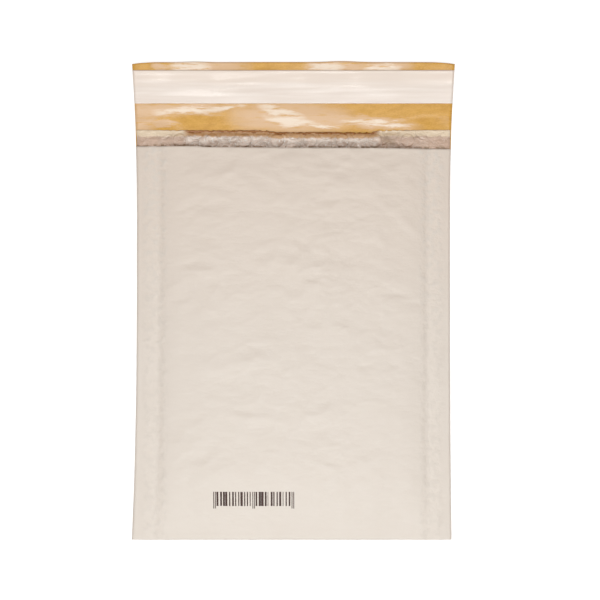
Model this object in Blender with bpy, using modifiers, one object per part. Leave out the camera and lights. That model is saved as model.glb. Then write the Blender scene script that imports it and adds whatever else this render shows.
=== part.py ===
"""A padded mailing envelope, empty and open, lying on its back with the flap laid out.

One sheet of kraft paper, white outside and brown inside, is folded up at the bottom to make
the front panel and runs on past the mouth as the flap. A folded sheet of bubble film lines it,
domes against the paper and smooth film towards the pocket, and is heat sealed with it along
both sides. The flap carries a band of adhesive under a release liner.

The origin is under the middle of the outline, on the table. The mouth and the flap are
towards +Y, and the front panel faces +Z.
"""

import math

import bmesh
import bpy

MM = 0.001

# Outline of the paper
BODY_LENGTH = 265.0 * MM     # bottom fold to the lip of the front panel
FLAP_REACH = 58.6 * MM       # lip of the front panel to the free edge of the flap
FOLD_WIDTH = 216.0 * MM      # across the bottom fold
WAIST_WIDTH = 211.4 * MM     # across the narrowest place, which the padding draws in
WAIST_HEIGHT = 219.5 * MM    # bottom fold to that place
FLAP_WIDTH = 218.6 * MM      # across the free edge of the flap
FOLD_LEAN = 1.2 * MM         # how far the bottom fold sits to the left of the flap

# Sheets, and the air left between two of them
PAPER = 0.25 * MM
CLEARANCE = 0.25 * MM

# Side seams
SEAM_INSET = 15.5 * MM       # paper edge to the heat-sealed line
SEAM_HEIGHT = 2.0 * MM       # table to the underside of the paper at that line
FLANGE_DROOP = 1.2 * MM      # how far the paper edge hangs below the line
FLANGE_PUFF = 0.4 * MM       # what the bubbles outside the line add to each half of the lining
FLAT_SHARE = 0.72            # share of the width between the seams that lies flat

# Bubble film
BUBBLE_HEIGHT = 3.0 * MM     # full thickness of the film
BUBBLE_DIAMETER = 10.0 * MM
BUBBLE_CROWN = 7.4 * MM      # across the flattened end of a bubble
BUBBLE_PITCH = 12.3 * MM     # bubble to bubble within a column
COLUMN_PITCH = 11.0 * MM     # column to column, each set off by half a bubble pitch
BUBBLE_SIDES = 8
FILM = 0.3 * MM              # film between the bubbles, and where they are sealed flat
BUBBLE_LEAST = 1.2 * MM      # a bubble squeezed lower than this is gone
FOLD_PAD = 2.0 * MM          # thickness of the lining squeezed into the bottom fold
FOLD_RUN = 40.0 * MM         # length over which it swells to its full thickness
PAD_SQUARENESS = 10          # how late the lining thins towards the seams
LINING_SETBACK = 0.6 * MM    # lining edges stay this far inside the paper edges
LINING_REACH = 12.0 * MM     # how far the back half of the lining runs past the lip
MOUTH_DEPTH = 15.0 * MM      # length behind the lip in which the bubbles are modelled

# Pocket
POCKET_ROOM = 4.8 * MM       # height of the pocket along its middle
POCKET_START = 4.0 * MM      # solid lining between the bottom fold and the pocket
POCKET_RUN = 45.0 * MM       # length over which the pocket opens to its full height
ROOM_SQUARENESS = 6

# Flap
FLAP_RELAX = 24.0 * MM       # length past the lip in which the side lift dies out
FLAP_LIFT = 0.8 * MM         # how far the free edge lies off the table
FLAP_RIPPLE = 0.5 * MM
RIPPLE_LENGTH = 96.0 * MM
LINER_WIDTH = 22.4 * MM
LINER = 0.2 * MM
LINER_MARGIN = 6.2 * MM      # free edge of the flap to the release liner
ADHESIVE_WIDTH = 17.0 * MM
ADHESIVE = 0.2 * MM
ADHESIVE_END = 4.0 * MM      # the adhesive stops this far short of the paper edges

# Handling marks on the front panel
SWELL = 0.35 * MM            # broad unevenness of the padding
SWELL_LENGTH = 74.0 * MM
CREASE_DEPTH = 0.5 * MM      # the deepest crease
CREASES = (                  # place, bearing in degrees, length, width and share of the depth
    (75.0 * MM, 4.0 * MM, -8.0, 30.0 * MM, 9.0 * MM, 1.0),
    (79.0 * MM, 47.0 * MM, -46.0, 42.0 * MM, 9.0 * MM, 0.8),
    (-71.0 * MM, 22.0 * MM, 6.0, 28.0 * MM, 9.0 * MM, 0.7),
    (-36.0 * MM, -37.0 * MM, 18.0, 46.0 * MM, 11.0 * MM, 0.5),
    (-43.0 * MM, -59.0 * MM, -12.0, 40.0 * MM, 11.0 * MM, 0.5),
    (-2.0 * MM, -77.0 * MM, 5.0, 60.0 * MM, 11.0 * MM, 0.5),
    (-60.0 * MM, 74.0 * MM, 4.0, 44.0 * MM, 10.0 * MM, 0.5),
    (48.0 * MM, -112.0 * MM, -6.0, 50.0 * MM, 10.0 * MM, 0.5),
)

# Places worked out from the sizes
Y_TIP = (BODY_LENGTH + FLAP_REACH) / 2
Y_FOLD = -Y_TIP
Y_LIP = Y_FOLD + BODY_LENGTH
Y_WAIST = Y_FOLD + WAIST_HEIGHT
Y_LINING_LIP = Y_LIP - LINING_SETBACK
Y_LINING_END = Y_LIP + LINING_REACH
Y_MOUTH = Y_LINING_LIP - MOUTH_DEPTH
Y_LINER = Y_TIP - LINER_MARGIN - LINER_WIDTH / 2

# Lines down the sheets: 0 is the middle, 1 a seam, 2 a paper edge
HALF_LINES = (0.12, 0.24, 0.36, 0.48, 0.60, 0.70, 0.79, 0.86, 0.92, 0.965, 1.0, 1.3, 1.7, 2.0)
LINES = tuple(-line for line in reversed(HALF_LINES)) + (0.0,) + HALF_LINES

FLAP_ROWS = 8
BACK_ROWS = 6
FOLD_ROWS = 6
FRONT_ROWS = 34


def mix(start, end, share):
    return start + (end - start) * share


def smooth(share):
    """Ease from 0 to 1."""
    share = min(max(share, 0.0), 1.0)
    return share * share * (3.0 - 2.0 * share)


def half_width(y):
    if y < Y_WAIST:
        share = (Y_WAIST - y) / (Y_WAIST - Y_FOLD)
        return mix(WAIST_WIDTH, FOLD_WIDTH, share ** 3) / 2
    share = (y - Y_WAIST) / (Y_TIP - Y_WAIST)
    return mix(WAIST_WIDTH, FLAP_WIDTH, share ** 2) / 2


def middle(y):
    share = max((Y_WAIST - y) / (Y_WAIST - Y_FOLD), 0.0)
    return -FOLD_LEAN * share ** 3


def across(line, y):
    """X of a line of the sheet at a height up the envelope."""
    seam = half_width(y) - SEAM_INSET
    out = abs(line)
    reach = out * seam if out <= 1.0 else seam + (out - 1.0) * SEAM_INSET
    return middle(y) + math.copysign(reach, line)


def filling(line, squareness):
    """1 in the middle of the envelope and 0 from the seams outwards."""
    return max(1.0 - abs(line) ** squareness, 0.0)


def rest_height(line, y):
    """Underside of the paper above the table, for the back panel and the flap."""
    out = abs(line)
    side = SEAM_HEIGHT * smooth((out - FLAT_SHARE) / (1.0 - FLAT_SHARE))
    side -= FLANGE_DROOP * max(out - 1.0, 0.0)
    side *= 1.0 - smooth((y - Y_LIP) / FLAP_RELAX)
    share = max((y - Y_LIP) / FLAP_REACH, 0.0)
    turn = math.tau * across(line, y) / RIPPLE_LENGTH
    ripple = FLAP_RIPPLE * (0.5 + 0.5 * math.sin(turn + 2.2 * share))
    return side + FLAP_LIFT * share ** 2 + ripple * smooth(share)


def pad(line, along):
    """Thickness of one half of the lining, at a distance along from the bottom fold."""
    full = mix(FOLD_PAD, BUBBLE_HEIGHT, smooth(along / FOLD_RUN))
    flange = max(abs(line) - 1.0, 0.0)
    return mix(FILM, full, filling(line, PAD_SQUARENESS)) + FLANGE_PUFF * math.sin(math.pi * flange)


def room(line, along):
    """Height of the pocket."""
    opened = smooth((along - POCKET_START) / POCKET_RUN)
    return POCKET_ROOM * opened * filling(line, ROOM_SQUARENESS)


def slack(line, along):
    """Air over the lining, into which the creases of the front panel dip."""
    return CREASE_DEPTH * smooth(along / FOLD_RUN) * filling(line, PAD_SQUARENESS)


def swell(line, y, along):
    wave = math.sin(math.tau * y / SWELL_LENGTH + 2.0 * line)
    wave += 0.7 * math.sin(math.tau * (0.6 * y + across(line, y)) / SWELL_LENGTH)
    return SWELL * wave / 1.7 * smooth(along / FOLD_RUN) * filling(line, ROOM_SQUARENESS)


def separation(line, along):
    """Distance between the inner faces of the back and front panels."""
    return 2 * pad(line, along) + room(line, along) + slack(line, along) + 2 * CLEARANCE


def fold_radius(line):
    """Outer radius of the bottom fold, which is tight in the flanges and full in the middle."""
    return PAPER + separation(line, 0.0) / 2


def fold_end(line):
    """Where the bottom fold runs out into the flat of the panels."""
    return Y_FOLD + fold_radius(line)


def crease(x, y):
    """Depth of the creases at a place of the front panel, the deepest one counting."""
    depth = 0.0
    for place_x, place_y, bearing, length, width, share in CREASES:
        turn = math.radians(bearing)
        along = (x - place_x) * math.cos(turn) + (y - place_y) * math.sin(turn)
        aside = (y - place_y) * math.cos(turn) - (x - place_x) * math.sin(turn)
        near = math.exp(-(2 * along / length) ** 2 - (2 * aside / width) ** 2)
        depth = max(depth, CREASE_DEPTH * share * near)
    return depth


def front_height(line, y):
    """Outer face of the front panel above the table."""
    along = y - fold_end(line)
    lift = 2 * PAPER + separation(line, along) + swell(line, y, along)
    dip = crease(across(line, y), y) * filling(line, PAD_SQUARENESS)
    return rest_height(line, y) + lift - dip


def paper_point(line, station):
    """Outer face of the paper sheet, followed from the flap round to the lip.

    Stations 0 to 1 are the flap, 1 to 2 the back panel, 2 to 3 the bottom fold and 3 to 4 the
    front panel.
    """
    radius = fold_radius(line)
    if station <= 1:
        y = mix(Y_TIP, Y_LIP, station)
        z = rest_height(line, y)
    elif station <= 2:
        y = mix(Y_LIP, fold_end(line), station - 1)
        z = rest_height(line, y)
    elif station < 3:
        turn = math.pi * (station - 2.5)
        y = fold_end(line) - radius * math.cos(turn)
        z = rest_height(line, y) + radius * (1 + math.sin(turn))
    else:
        y = mix(fold_end(line), Y_LIP, station - 3)
        z = front_height(line, y)
    return across(line, y), y, z


def new_material(name, color, roughness):
    material = bpy.data.materials.new(name)
    material.use_nodes = True
    shader = material.node_tree.nodes["Principled BSDF"]
    shader.inputs["Base Color"].default_value = (*color, 1.0)
    shader.inputs["Roughness"].default_value = roughness
    shader.inputs["Metallic"].default_value = 0.0
    return material


def new_object(name, bm, collection, *materials):
    mesh = bpy.data.meshes.new(name)
    bm.to_mesh(mesh)
    bm.free()
    for material in materials:
        mesh.materials.append(material)
    mesh.shade_smooth()
    mesh.set_sharp_from_angle(angle=math.radians(40))
    part = bpy.data.objects.new(name, mesh)
    collection.objects.link(part)
    return part


def shaped_grid(lines, stations, place):
    """A grid primitive whose points are moved to place(line, station)."""
    bm = bmesh.new()
    columns = len(lines) - 1
    rows = len(stations) - 1
    bmesh.ops.create_grid(bm, x_segments=columns, y_segments=rows, size=1.0)
    for vert in bm.verts:
        column = round((vert.co.x + 1) / 2 * columns)
        row = round((vert.co.y + 1) / 2 * rows)
        vert.co = place(lines[column], stations[row])
    return bm


def thicken(part, thickness, inwards=True):
    """Give an open sheet its thickness; the second material, if any, is its inner face."""
    shell = part.modifiers.new("thickness", "SOLIDIFY")
    shell.thickness = thickness
    shell.offset = -1.0 if inwards else 1.0
    shell.use_even_offset = True
    shell.material_offset = len(part.data.materials) - 1


def steps(start, end, count):
    return [mix(start, end, step / count) for step in range(count)]


def make_paper(collection):
    stations = steps(0, 1, FLAP_ROWS) + steps(1, 2, BACK_ROWS) + steps(2, 3, FOLD_ROWS)
    stations += steps(3, 4, FRONT_ROWS) + [4.0]
    bm = shaped_grid(LINES, stations, paper_point)
    white = new_material("white_paper", (0.76, 0.69, 0.61), 0.55)
    kraft = new_material("kraft_paper", (0.62, 0.37, 0.12), 0.35)
    paper = new_object("paper_envelope", bm, collection, white, kraft)
    thicken(paper, PAPER)


def lining_heights(line, y):
    """Underside, pocket floor, pocket ceiling and top of the padded lining."""
    along = y - fold_end(line)
    under = rest_height(line, y) + PAPER + CLEARANCE
    floor = under + pad(line, along)
    ceiling = floor + room(line, along)
    top = ceiling + pad(line, along) + swell(line, y, along)
    return {"under": under, "floor": floor, "ceiling": ceiling, "top": top}


def lining_place(line, y, level):
    """A point of the lining, which is bare film between the bubbles near the mouth."""
    heights = lining_heights(line, y)
    if y > Y_MOUTH:
        heights["under"] = heights["floor"] - FILM
        heights["top"] = heights["ceiling"] + FILM
    return across(line, y), y, heights[level]


def lining_fold_place(line, turn, level):
    """A point of the lining where it turns with the bottom fold."""
    radius = fold_radius(line)
    inner = radius - PAPER - CLEARANCE
    y = fold_end(line) - inner * math.cos(turn)
    side = -1 if level == "under" else 1
    return across(line, y), y, rest_height(line, y) + radius + side * inner * math.sin(turn)


def lining_film():
    """The folded and sealed film, thin where its bubbles are modelled, and padded elsewhere."""
    bm = bmesh.new()
    edge = 2.0 - LINING_SETBACK / SEAM_INSET
    lines = [min(max(line, -edge), edge) for line in LINES]
    turns = [math.radians(angle) for angle in (0, 30, 60)]
    shares = [0, 0.02, 0.05, 0.09, 0.14, 0.2, 0.28, 0.37, 0.46, 0.55, 0.64, 0.73, 0.82, 0.91, 1]
    first_body_row = len(turns)
    mouth_rows = [Y_MOUTH + CLEARANCE, mix(Y_MOUTH, Y_LINING_LIP, 0.5), Y_LINING_LIP]
    band_rows = [mix(Y_LINING_LIP, Y_LINING_END, share) for share in (0.33, 0.67, 1)]
    lip_row = first_body_row + len(shares) + len(mouth_rows) - 1
    last_row = lip_row + len(band_rows)
    pocket_row = first_body_row + 1
    verts = {}

    def vert(row, column, level):
        line = lines[column]
        shut = abs(line) >= 1 or row <= pocket_row
        if shut and level == "ceiling":
            level = "floor"
        if row == 0:
            level = "under"
        key = (row, column, level)
        if key not in verts:
            if row < first_body_row:
                place = lining_fold_place(line, turns[row], level)
            else:
                body_row = row - first_body_row
                if body_row < len(shares):
                    y = mix(fold_end(line), Y_MOUTH, shares[body_row])
                else:
                    y = (mouth_rows + band_rows)[body_row - len(shares)]
                place = lining_place(line, y, level)
            verts[key] = bm.verts.new(place)
        return verts[key]

    def face(*corners):
        loop = [vert(*corner) for corner in corners]
        loop = [corner for place, corner in enumerate(loop) if corner is not loop[place - 1]]
        if len(loop) > 2:
            bm.faces.new(loop)

    def patch(row, column, level):
        face((row, column, level), (row, column + 1, level),
             (row + 1, column + 1, level), (row + 1, column, level))

    def wall(row, column, low, high):
        face((row, column, low), (row, column + 1, low),
             (row, column + 1, high), (row, column, high))

    last_column = len(lines) - 1
    for column in range(last_column):
        inside = abs(lines[column]) <= 1 and abs(lines[column + 1]) <= 1
        for row in range(last_row):
            patch(row, column, "under")
            if row < lip_row:
                patch(row, column, "top")
            if row >= lip_row or (inside and row >= pocket_row):
                patch(row, column, "floor")
            if row < lip_row and inside and row >= pocket_row:
                patch(row, column, "ceiling")
        wall(lip_row, column, "ceiling", "top")
        wall(last_row, column, "under", "floor")
    for column in (0, last_column):
        for row in range(lip_row - 1):
            face((row, column, "under"), (row + 1, column, "under"),
                 (row + 1, column, "top"), (row, column, "top"))
        face((lip_row - 1, column, "under"), (lip_row, column, "under"),
             (lip_row, column, "floor"), (lip_row, column, "top"), (lip_row - 1, column, "top"))
        for row in range(lip_row, last_row):
            face((row, column, "under"), (row + 1, column, "under"),
                 (row + 1, column, "floor"), (row, column, "floor"))
    bmesh.ops.recalc_face_normals(bm, faces=bm.faces)
    return bm


def add_bubble(bm, x, y, film_z, height, up):
    """One bubble, standing from the middle of the film."""
    root = FILM / 2
    made = bmesh.ops.create_cone(
        bm, cap_ends=True, segments=BUBBLE_SIDES, depth=height + root,
        radius1=BUBBLE_DIAMETER / 2, radius2=BUBBLE_CROWN / 2)
    for vert in made["verts"]:
        rise = vert.co.z + (height + root) / 2 - root
        vert.co = (vert.co.x + x, vert.co.y + y, film_z + (rise if up else -rise))


def bubble_height(x, y, up):
    """Height of a bubble between its film and the nearest paper over its width."""
    levels = []
    for edge_x in (x - BUBBLE_DIAMETER / 2, x, x + BUBBLE_DIAMETER / 2):
        line = (edge_x - middle(y)) / (half_width(y) - SEAM_INSET)
        levels.append(lining_heights(line, y))
    film = levels[1]
    if up:
        return min(level["top"] for level in levels) - film["ceiling"] - FILM
    return film["floor"] - FILM - max(level["under"] for level in levels)


def bubble_rows(y_end, up):
    """The bubbles of one half of the lining, from behind the lip to where the film is cut."""
    bm = bmesh.new()
    first = Y_MOUTH + BUBBLE_DIAMETER / 2 + CLEARANCE
    columns = int((WAIST_WIDTH / 2 - SEAM_INSET - BUBBLE_DIAMETER / 2) / COLUMN_PITCH)
    for column in range(-columns, columns + 1):
        y = first + (column % 2) * BUBBLE_PITCH / 2
        while y < y_end:
            x = middle(y) + column * COLUMN_PITCH
            height = bubble_height(x, y, up)
            film = lining_heights(column * COLUMN_PITCH / (half_width(y) - SEAM_INSET), y)
            film_z = film["ceiling"] + FILM if up else film["floor"] - FILM
            if height > BUBBLE_LEAST:
                add_bubble(bm, x, y, film_z, height, up)
            y += BUBBLE_PITCH
    everything = bm.verts[:] + bm.edges[:] + bm.faces[:]
    bmesh.ops.bisect_plane(bm, geom=everything, plane_co=(0, y_end - CLEARANCE, 0),
                           plane_no=(0, 1, 0), clear_outer=True)
    bmesh.ops.holes_fill(bm, edges=[edge for edge in bm.edges if edge.is_boundary])
    bmesh.ops.recalc_face_normals(bm, faces=bm.faces)
    return bm


def make_lining(collection, cutters):
    clear_film = new_material("bubble_film", (0.55, 0.42, 0.33), 0.3)
    lining = new_object("bubble_lining", lining_film(), collection, clear_film)
    halves = (("front_bubbles", Y_LINING_LIP, True), ("back_bubbles", Y_LINING_END, False))
    for name, y_end, up in halves:
        rows = new_object(name, bubble_rows(y_end, up), cutters, clear_film)
        rows.hide_render = True
        rows.display_type = "WIRE"
        union = lining.modifiers.new(name, "BOOLEAN")
        union.operation = "UNION"
        union.solver = "EXACT"
        union.object = rows


def flap_strip(name, collection, material, y_middle, width, end_gap, base, thickness):
    """A strip laid on the inner face of the flap, at a height base above its underside."""
    edge = 2.0 - end_gap / SEAM_INSET
    lines = [line for line in LINES if abs(line) < edge]
    lines = [-edge] + lines + [edge]
    sides = (y_middle - width / 2, y_middle, y_middle + width / 2)

    def place(line, y):
        return across(line, y), y, rest_height(line, y) + base

    strip = new_object(name, shaped_grid(lines, sides, place), collection, material)
    thicken(strip, thickness, inwards=False)


def make_closure(collection):
    glue = new_material("adhesive", (0.72, 0.62, 0.45), 0.25)
    liner = new_material("release_liner", (0.86, 0.77, 0.69), 0.2)
    base = PAPER + CLEARANCE
    flap_strip("adhesive_strip", collection, glue, Y_LINER, ADHESIVE_WIDTH, ADHESIVE_END,
               base, ADHESIVE)
    flap_strip("release_liner", collection, liner, Y_LINER, LINER_WIDTH, LINING_SETBACK,
               base + ADHESIVE + CLEARANCE, LINER)


def main():
    for old in list(bpy.data.objects):
        bpy.data.objects.remove(old)
    envelope = bpy.data.collections.new("padded_envelope")
    cutters = bpy.data.collections.new("cutters")
    for collection in (envelope, cutters):
        bpy.context.scene.collection.children.link(collection)
    make_paper(envelope)
    make_lining(envelope, cutters)
    make_closure(envelope)


main()
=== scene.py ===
# %% [markdown]
# # A padded envelope
# An empty mailing envelope lies on its back, open, with its flap laid out flat. It is one sheet
# of kraft paper, white outside and brown inside, lined with bubble film that is heat sealed to
# it along both sides. Paper and film are soft, so the solids of the frame give the place and
# the size, and this script models each sheet again with the wrinkles that the solids lack.

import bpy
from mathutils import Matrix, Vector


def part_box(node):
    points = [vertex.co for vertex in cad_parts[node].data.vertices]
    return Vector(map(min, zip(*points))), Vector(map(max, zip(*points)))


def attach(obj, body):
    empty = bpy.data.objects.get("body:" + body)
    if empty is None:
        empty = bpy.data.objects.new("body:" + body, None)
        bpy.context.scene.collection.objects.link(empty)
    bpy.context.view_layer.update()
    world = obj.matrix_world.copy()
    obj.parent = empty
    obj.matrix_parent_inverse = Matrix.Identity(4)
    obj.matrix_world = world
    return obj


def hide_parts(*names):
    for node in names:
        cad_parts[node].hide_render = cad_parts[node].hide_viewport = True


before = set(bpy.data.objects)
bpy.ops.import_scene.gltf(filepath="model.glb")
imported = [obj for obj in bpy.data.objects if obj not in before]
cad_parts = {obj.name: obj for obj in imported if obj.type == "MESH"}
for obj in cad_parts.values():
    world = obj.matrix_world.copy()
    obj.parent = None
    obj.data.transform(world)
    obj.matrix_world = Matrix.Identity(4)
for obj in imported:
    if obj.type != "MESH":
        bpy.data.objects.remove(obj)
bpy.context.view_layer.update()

# %% Modules and units
import math

import bmesh
import bpy
import numpy as np
from mathutils import Vector, noise

MM = 0.001
TAU = math.tau
add_to_scene = bpy.context.scene.collection.objects.link

# %% [markdown]
# ## The camera
# The envelope was looked at from straight above. A long lens a metre and a bit up gives the
# same almost parallel view. The lens and the size of one picture point fix the height of the
# camera, so nothing has to be tried out.

# %% Camera
PICTURE = 600
POINT = 0.676 * MM
LENS = 120.0
SENSOR = 36.0
OUTLINE_MIDDLE = (293.45, 300.4)
SEAM_LEVEL = 2.0 * MM

camera = bpy.data.objects.new("camera", bpy.data.cameras.new("camera"))
camera.data.lens = LENS
camera.data.sensor_width = SENSOR
camera.location = (
    (PICTURE / 2 - OUTLINE_MIDDLE[0]) * POINT,
    (OUTLINE_MIDDLE[1] - PICTURE / 2) * POINT,
    PICTURE * POINT * LENS / SENSOR + SEAM_LEVEL,
)
add_to_scene(camera)
bpy.context.scene.camera = camera
print("camera", round(camera.location.z, 3), "m up")

# %% [markdown]
# ## The form of the envelope
# Every sheet is a grid of points in two directions: a line runs down the envelope at a share of
# its width, and a row crosses it. Line 0 is the middle, 1 a seam and 2 a paper edge. One set of
# formulas gives the outline and the heights, so that paper, film and liner nest in each other.
# The overall sizes are read from the frame, and the rest are the sizes the envelope was
# designed with.

# %% Sizes
paper_low, paper_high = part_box("paper_envelope")
_, lining_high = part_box("bubble_lining")
liner_low, liner_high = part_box("release_liner")
glue_low, glue_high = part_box("adhesive_strip")

Y_FOLD, Y_TIP = paper_low.y, paper_high.y
LINING_REACH = 12.0 * MM
Y_BAND = lining_high.y
Y_LIP = Y_BAND - LINING_REACH
Y_WAIST = Y_FOLD + 219.5 * MM
FOLD_HALF = 108.0 * MM
WAIST_HALF = 105.7 * MM
FLAP_HALF = paper_high.x
FOLD_LEAN = 1.2 * MM
FLAP_REACH = Y_TIP - Y_LIP

PAPER = 0.2 * MM
CLEARANCE = 0.25 * MM
PAPER_SPACE = 0.25 * MM
FILM = 0.1 * MM
SETBACK = 0.6 * MM

SEAM_INSET = 15.5 * MM
SEAM_HEIGHT = 2.0 * MM
FLANGE_DROOP = 1.2 * MM
FLANGE_PUFF = 0.22 * MM
FLAT_SHARE = 0.72

BUBBLE_HEIGHT = 3.0 * MM
BUBBLE_RADIUS = 5.0 * MM
BUBBLE_PITCH = 12.3 * MM
COLUMN_PITCH = 11.0 * MM
FLAT_FILM = 0.3 * MM
FOLD_PAD = 2.0 * MM
FOLD_RUN = 40.0 * MM
PAD_SQUARENESS = 6
ROOM_SQUARENESS = 4
POCKET_ROOM = 4.8 * MM
POCKET_START = 4.0 * MM
POCKET_RUN = 45.0 * MM

FLAP_RELAX = 24.0 * MM
FLAP_LIFT = 0.8 * MM
FLAP_RIPPLE = 0.5 * MM
RIPPLE_LENGTH = 96.0 * MM
RIPPLE_TURN = 2.2
SWELL = 0.35 * MM
SWELL_LENGTH = 74.0 * MM
SWELL_TURN = 2.0
SLANT_SHARE = 0.7
SLANT_RISE = 0.6
CREASE_ROOM = 0.5 * MM
print("lip at", round(Y_LIP * 1000, 1), "mm, flap reaches", round(FLAP_REACH * 1000, 1), "mm")


# %% Helpers for shares and tables
def mix(start, end, share):
    return start + (end - start) * share


def smooth(share):
    share = np.clip(share, 0.0, 1.0)
    return share * share * (3.0 - 2.0 * share)


def hump(value, low, high, soft):
    """1 between low and high, easing to 0 over a distance soft outside them."""
    return smooth((value - low + soft) / soft) * smooth((high + soft - value) / soft)


def in_metres(rows, bearing=None):
    """Rows of millimetres as rows of metres; the column of the bearing stays in degrees."""
    return [
        [value if place == bearing else value * MM for place, value in enumerate(row)]
        for row in rows
    ]


# %% Outline
def half_width(y):
    below = np.clip((Y_WAIST - y) / (Y_WAIST - Y_FOLD), 0.0, None)
    above = np.clip((y - Y_WAIST) / (Y_TIP - Y_WAIST), 0.0, None)
    return (WAIST_HALF + (FOLD_HALF - WAIST_HALF) * below ** 3
            + (FLAP_HALF - WAIST_HALF) * above ** 2)


def middle(y):
    return -FOLD_LEAN * np.clip((Y_WAIST - y) / (Y_WAIST - Y_FOLD), 0.0, None) ** 3


def across(line, y):
    seam = half_width(y) - SEAM_INSET
    out = np.abs(line)
    reach = np.where(out <= 1.0, out * seam, seam + (out - 1.0) * SEAM_INSET)
    return middle(y) + np.sign(line) * reach


def line_at(x, y):
    return (x - middle(y)) / (half_width(y) - SEAM_INSET)


print("half widths", [round(float(half_width(y)) * 1000, 1) for y in (Y_FOLD, Y_WAIST, Y_TIP)])


# %% [markdown]
# Neither the lip nor the free edge of the flap is quite straight: the lip leans, sags in the
# middle and is lifted near the left seam, and the corners of the flap draw back.

# %% Lip and tip
LIP_LEAN = 1.0 * MM
LIP_SAG = 0.5 * MM
LIP_LIFT = 0.7 * MM
LIFT_FROM = -94 * MM
LIFT_TO = -66 * MM
LIFT_RUN = 8 * MM
TIP_BACK = 0.6 * MM
CORNER_BACK = 1.35 * MM
CORNER_POWER = 3.5
TIP_BUMPS = in_metres(((-67, 9, 0.5), (33, 13, 0.7)))


def lip_line(line):
    lift = LIP_LIFT * hump(across(line, Y_LIP), LIFT_FROM, LIFT_TO, LIFT_RUN)
    return Y_LIP - LIP_LEAN * line / 2 - LIP_SAG * (1 - (line / 2) ** 2) + lift


def tip_line(line):
    back = TIP_BACK + CORNER_BACK * np.abs(line / 2) ** CORNER_POWER
    for x, half, rise in TIP_BUMPS:
        back = back - rise * np.exp(-((across(line, Y_TIP) - x) / half) ** 2)
    return Y_TIP - back


print("lip from", [round(float(lip_line(line)) * 1000, 1) for line in (-2.0, 0.0, 2.0)], "mm")

# %% [markdown]
# The heights stack up from the table: the back of the paper, one half of the lining, the
# pocket, the other half and the front of the paper. The lining is thick between the seams and
# pressed flat in them, and the pocket is a lens between its halves.

# %% Heights of the layers
def rest_height(line, y):
    """Underside of the back panel and of the flap, above the table."""
    out = np.abs(line)
    side = SEAM_HEIGHT * smooth((out - FLAT_SHARE) / (1.0 - FLAT_SHARE))
    side = side - FLANGE_DROOP * np.clip(out - 1.0, 0.0, None)
    side = side * (1.0 - smooth((y - Y_LIP) / FLAP_RELAX))
    share = np.clip((y - Y_LIP) / FLAP_REACH, 0.0, None)
    turn = TAU * across(line, y) / RIPPLE_LENGTH
    ripple = FLAP_RIPPLE * (0.5 + 0.5 * np.sin(turn + RIPPLE_TURN * share))
    return side + FLAP_LIFT * share ** 2 + ripple * smooth(share)


def filling(line, squareness):
    return np.clip(1.0 - np.abs(line) ** squareness, 0.0, None)


def pad(line, along):
    full = mix(FOLD_PAD, BUBBLE_HEIGHT, smooth(along / FOLD_RUN))
    flange = np.clip(np.abs(line) - 1.0, 0.0, None)
    puff = FLANGE_PUFF * np.sin(math.pi * flange)
    return mix(FLAT_FILM, full, filling(line, PAD_SQUARENESS)) + puff


def room(line, along):
    opened = smooth((along - POCKET_START) / POCKET_RUN)
    return POCKET_ROOM * opened * filling(line, ROOM_SQUARENESS)


def slack(line, along):
    return CREASE_ROOM * smooth(along / FOLD_RUN) * filling(line, PAD_SQUARENESS)


def swell(line, y, along):
    """Long low waves of the whole front, one set across it and one slanting."""
    wave = np.sin(TAU * y / SWELL_LENGTH + SWELL_TURN * line)
    slant = TAU * (SLANT_RISE * y + across(line, y)) / SWELL_LENGTH
    wave = (wave + SLANT_SHARE * np.sin(slant)) * SWELL / (1 + SLANT_SHARE)
    return wave * smooth(along / FOLD_RUN) * filling(line, ROOM_SQUARENESS)


def separation(line, along):
    return 2 * pad(line, along) + room(line, along) + slack(line, along) + 2 * CLEARANCE


LIP_DIP = 2.4 * MM
LIP_DIP_RUN = 26 * MM


def lip_dip(line, y):
    """How far the front of the mouth sinks under its own weight."""
    sunk = LIP_DIP * smooth((y - Y_LIP + LIP_DIP_RUN) / LIP_DIP_RUN)
    return sunk * filling(line, ROOM_SQUARENESS)


def fold_radius(line):
    return PAPER_SPACE + separation(line, 0.0) / 2


def fold_end(line):
    return Y_FOLD + fold_radius(line)


print("body is", round(float(2 * PAPER_SPACE + separation(0.0, 1.0)) * 1000, 1), "mm thick")

# %% [markdown]
# ## Relief of the front panel
# Three kinds of marks show on the real paper. The bubbles press through as a faint lattice.
# Handling leaves many shallow wrinkles, most of them running across, and a few sharper creases.
# Noise that is stretched across the envelope gives the wrinkles, a product of cosines gives the
# lattice, and each crease is a short ridge or dent placed one by one.

# %% Noise over the envelope
SEED_STEP = 3.7            # from one kind of wrinkle to the next
RIDGE_SEED, PATCH_SEED, FLAP_SEED = 50.0, 90.0, 11.0
CRUMPLE_SEED, PRESSED_SEED, STREAK_SEED, RAGGED_SEED = 21.0, 27.0, 31.0, 41.0


def stretched_noise(x, y, length_x, length_y, bearing, seed):
    """Noise whose cells are length_x by length_y, turned by a bearing in degrees."""
    turn = math.radians(bearing)
    along = (x * math.cos(turn) + y * math.sin(turn)) / length_x
    aside = (y * math.cos(turn) - x * math.sin(turn)) / length_y
    flat = [noise.noise(Vector((a, b, seed))) for a, b in zip(along.ravel(), aside.ravel())]
    return np.array(flat).reshape(along.shape)


def crumpled(x, y, kind, seed):
    """Height of one kind of wrinkle: its cell across and along, its bearing and its height."""
    *cell, rise = kind
    return rise * stretched_noise(x, y, *cell, seed)


LATTICE = 0.09 * MM


def lattice(x, y):
    wave = np.cos(TAU * y / BUBBLE_PITCH) * np.cos(math.pi * x / COLUMN_PITCH)
    return LATTICE * wave


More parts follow.
